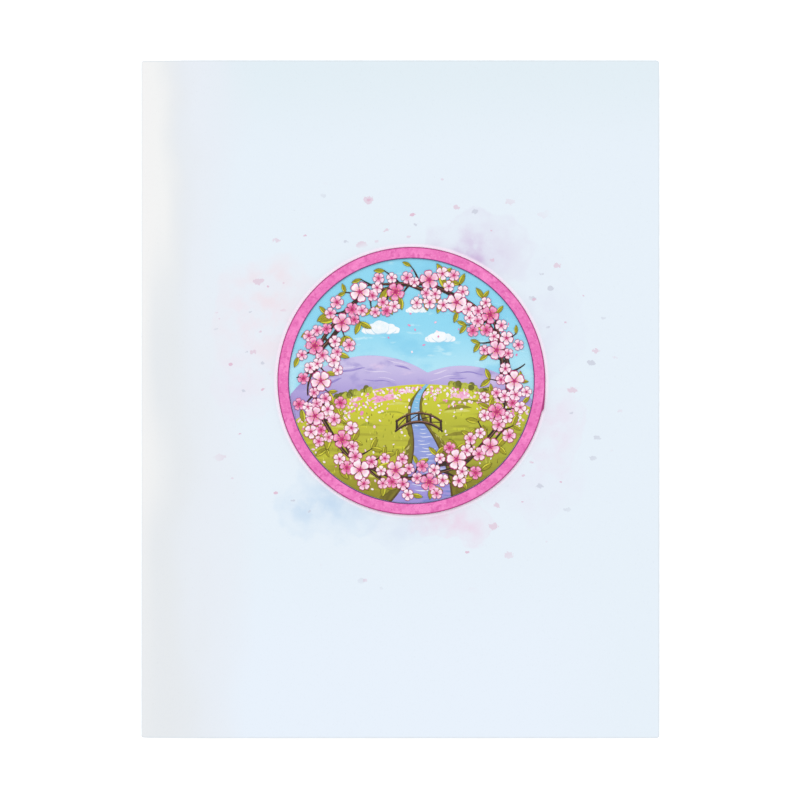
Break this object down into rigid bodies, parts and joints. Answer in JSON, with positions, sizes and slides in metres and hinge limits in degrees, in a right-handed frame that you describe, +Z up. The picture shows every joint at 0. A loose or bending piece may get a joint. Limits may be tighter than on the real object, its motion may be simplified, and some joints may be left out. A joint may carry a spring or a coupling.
{
  "type": "pop up card",
  "caption": "Closed pop-up greeting card: pale folded cover with a ringed round picture on its front and scenery layers that lie flat inside on folded straps.",
  "frame": {"origin": "on the table, under the middle of the closed card", "axes": "+X from the spine to the fore edge, +Y up the page along the spine, +Z up from the back panel to the front panel"},
  "size_m": [0.153, 0.2, 0.006],
  "materials": {
    "cover_card": "matte",
    "white_card": "matte",
    "ring_pink": "satin",
    "sky_blue": "matte",
    "hill_lilac": "matte",
    "stream_blue": "matte",
    "meadow_green": "matte",
    "bank_olive": "matte",
    "twig_brown": "matte",
    "leaf_green": "matte",
    "blossom_pale": "matte",
    "blossom_pink": "matte",
    "blossom_deep": "matte",
    "layer_lilac": "matte",
    "layer_green": "matte",
    "layer_pink": "matte"
  },
  "bodies": {
    "root": {"cover_sheet": "cover_card", "picture_disc": "sky_blue", "medallion_ring": "ring_pink", "far_hills": "hill_lilac", "stream_field": "stream_blue", "left_bank": "meadow_green", "right_bank": "bank_olive", "footbridge": "twig_brown", "twig_wreath": "twig_brown", "wreath_leaves": "leaf_green", "blossoms_pale": "blossom_pale", "blossoms_pink": "blossom_pink", "blossoms_deep": "blossom_deep", "layer_hills": "layer_lilac", "layer_hills_strap_lower": "white_card", "layer_hills_strap_upper": "white_card", "layer_firs": "layer_green", "layer_firs_strap_lower": "white_card", "layer_firs_strap_upper": "white_card", "layer_arbour": "layer_pink", "layer_arbour_strap_lower": "white_card", "layer_arbour_strap_upper": "white_card", "layer_tulips": "layer_pink", "layer_tulips_strap_lower": "white_card", "layer_tulips_strap_upper": "white_card"}
  },
  "joints": []
}
